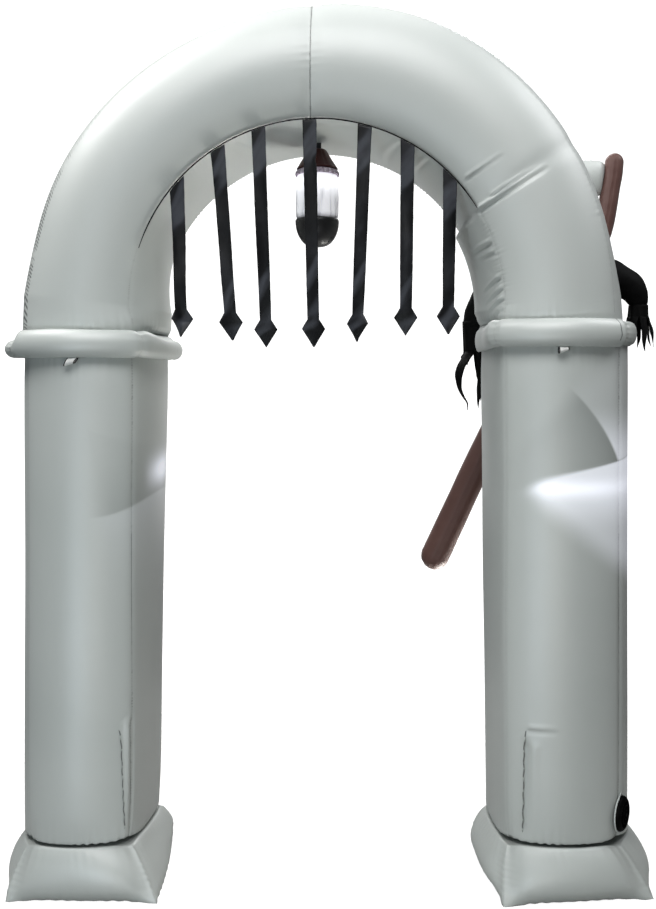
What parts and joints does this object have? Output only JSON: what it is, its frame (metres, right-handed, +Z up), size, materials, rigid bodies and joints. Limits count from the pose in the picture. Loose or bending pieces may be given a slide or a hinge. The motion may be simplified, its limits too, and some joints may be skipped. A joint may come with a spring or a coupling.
{
  "type": "inflatable arch",
  "caption": "Free-standing inflatable doorway arch of light grey cloth with flared plinths, rolled collars, black portcullis bars, a hanging lantern and a robed figure.",
  "frame": {"origin": "on the floor, at the middle of the whole part's footprint box", "axes": "+Z up; the arch is walked through along Y and its front, with the portcullis, faces -Y; the robed figure is on the +Y face of the +X leg"},
  "size_m": [2.1465, 0.9869, 2.6625],
  "materials": {
    "grey_cloth": "thin coated woven polyester, light grey, soft satin shine",
    "black_cloth": "thin woven polyester, black, satin",
    "brown_cloth": "thin woven polyester, dark red-brown, satin",
    "gathered_sheer": "gathered sheer cloth, greyish lilac",
    "white_webbing": "narrow white woven tape with black edges",
    "clear_sheet": "milky clear plastic sheet, lit from inside",
    "black_plastic": "black moulded grille"
  },
  "bodies": {
    "root": {"arch_half_left": "grey_cloth", "arch_half_right": "grey_cloth", "blower_grille": "black_plastic", "blower_rim": "grey_cloth", "collar_left": "grey_cloth", "collar_right": "grey_cloth", "cuff_inner": "black_cloth", "cuff_outer": "black_cloth", "lantern_body": "clear_sheet", "lantern_bowl": "black_cloth", "lantern_cap": "brown_cloth", "lantern_skirt": "gathered_sheer", "lantern_strap": "black_cloth", "leg_left": "grey_cloth", "leg_right": "grey_cloth", "plinth_left": "grey_cloth", "plinth_right": "grey_cloth", "portcullis_bar_1": "black_cloth", "portcullis_bar_2": "black_cloth", "portcullis_bar_3": "black_cloth", "portcullis_bar_4": "black_cloth", "portcullis_bar_5": "black_cloth", "portcullis_bar_6": "black_cloth", "portcullis_bar_7": "black_cloth", "robe": "black_cloth", "scythe_blade": "grey_cloth", "scythe_pole": "brown_cloth", "seam_piping": "black_cloth", "tether_loop_left": "white_webbing", "tether_loop_right": "white_webbing", "zip_flap_left": "grey_cloth", "zip_flap_right": "grey_cloth"}
  },
  "joints": []
}
